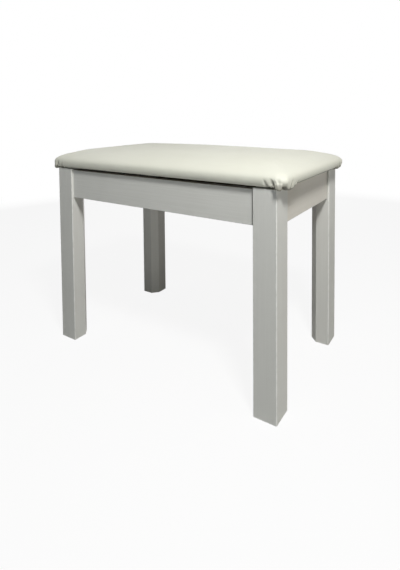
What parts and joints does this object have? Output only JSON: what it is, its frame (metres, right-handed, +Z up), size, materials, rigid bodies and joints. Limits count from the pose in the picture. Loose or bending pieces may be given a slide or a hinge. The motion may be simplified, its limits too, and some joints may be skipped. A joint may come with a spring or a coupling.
{
  "type": "piano stool",
  "caption": "Piano stool with a soft padded lid over a music compartment, square chamfered legs and recessed rails.",
  "frame": {"origin": "on the floor, under the middle of the stool", "axes": "+X to the sitter's right along the long side, +Y to the hinged back, +Z up"},
  "size_m": [0.6618, 0.369, 0.4953],
  "materials": {
    "painted_wood": "off-white satin paint",
    "hardboard": "brown hardboard, smooth side up",
    "zinc_steel": "zinc plated pressed steel",
    "black_rubber": "matt",
    "brass_plate": "brass plated steel",
    "plywood": "bare plywood",
    "foam": "open cell foam",
    "cream_vinyl": "cream faux leather, soft sheen",
    "dust_cloth": "thin black non-woven cloth"
  },
  "bodies": {
    "frame": {"leg_front_left": "painted_wood", "leg_front_right": "painted_wood", "leg_back_left": "painted_wood", "leg_back_right": "painted_wood", "front_rail": "painted_wood", "back_rail": "painted_wood", "left_rail": "painted_wood", "right_rail": "painted_wood", "compartment_floor": "hardboard", "corner_bracket_front_left": "zinc_steel", "corner_bracket_front_right": "zinc_steel", "corner_bracket_back_left": "zinc_steel", "corner_bracket_back_right": "zinc_steel", "hanger_bolts": "zinc_steel", "bolt_washers": "zinc_steel", "wing_nuts": "zinc_steel", "bracket_screws": "zinc_steel", "leg_buffers": "black_rubber", "hinge_rail_leaf_left": "brass_plate", "hinge_rail_leaf_right": "brass_plate", "hinge_pin_left": "brass_plate", "hinge_pin_right": "brass_plate", "hinge_rail_screws": "brass_plate", "stay_rail_bracket": "zinc_steel", "stay_rail_rivet": "zinc_steel", "stay_rail_screws": "zinc_steel"},
    "lid": {"seat_board": "plywood", "seat_foam": "foam", "seat_cover": "cream_vinyl", "dust_cloth": "dust_cloth", "underside_staples": "zinc_steel", "hinge_lid_leaf_left": "brass_plate", "hinge_lid_leaf_right": "brass_plate", "hinge_lid_screws": "brass_plate", "stay_lid_bracket": "zinc_steel", "stay_lid_rivet": "zinc_steel", "stay_lid_screws": "zinc_steel"},
    "stay_lower": {"stay_lower_arm": "zinc_steel", "stay_elbow_rivet": "zinc_steel"},
    "stay_upper": {"stay_upper_arm": "zinc_steel"}
  },
  "joints": [
    {"name": "lid_hinge", "type": "hinge", "parent": "frame", "child": "lid", "pos_m": [0, 0.1756, 0.4419], "axis": [-1, 0, 0], "range_deg": [0, 75]},
    {"name": "stay_lower_pivot", "type": "hinge", "parent": "frame", "child": "stay_lower", "pos_m": [-0.2842, 0.07862, 0.4179], "axis": [-1, 0, 0], "range_deg": [0, 96]},
    {"name": "stay_upper_pivot", "type": "hinge", "parent": "lid", "child": "stay_upper", "pos_m": [-0.2819, 0.05962, 0.4359], "axis": [-1, 0, 0], "range_deg": [-87.2, 0]}
  ],
  "couplings": [
    {"joint": "stay_lower_pivot", "follows": "lid_hinge", "ratio": 1.28},
    {"joint": "stay_upper_pivot", "follows": "lid_hinge", "ratio": -1.1622}
  ]
}
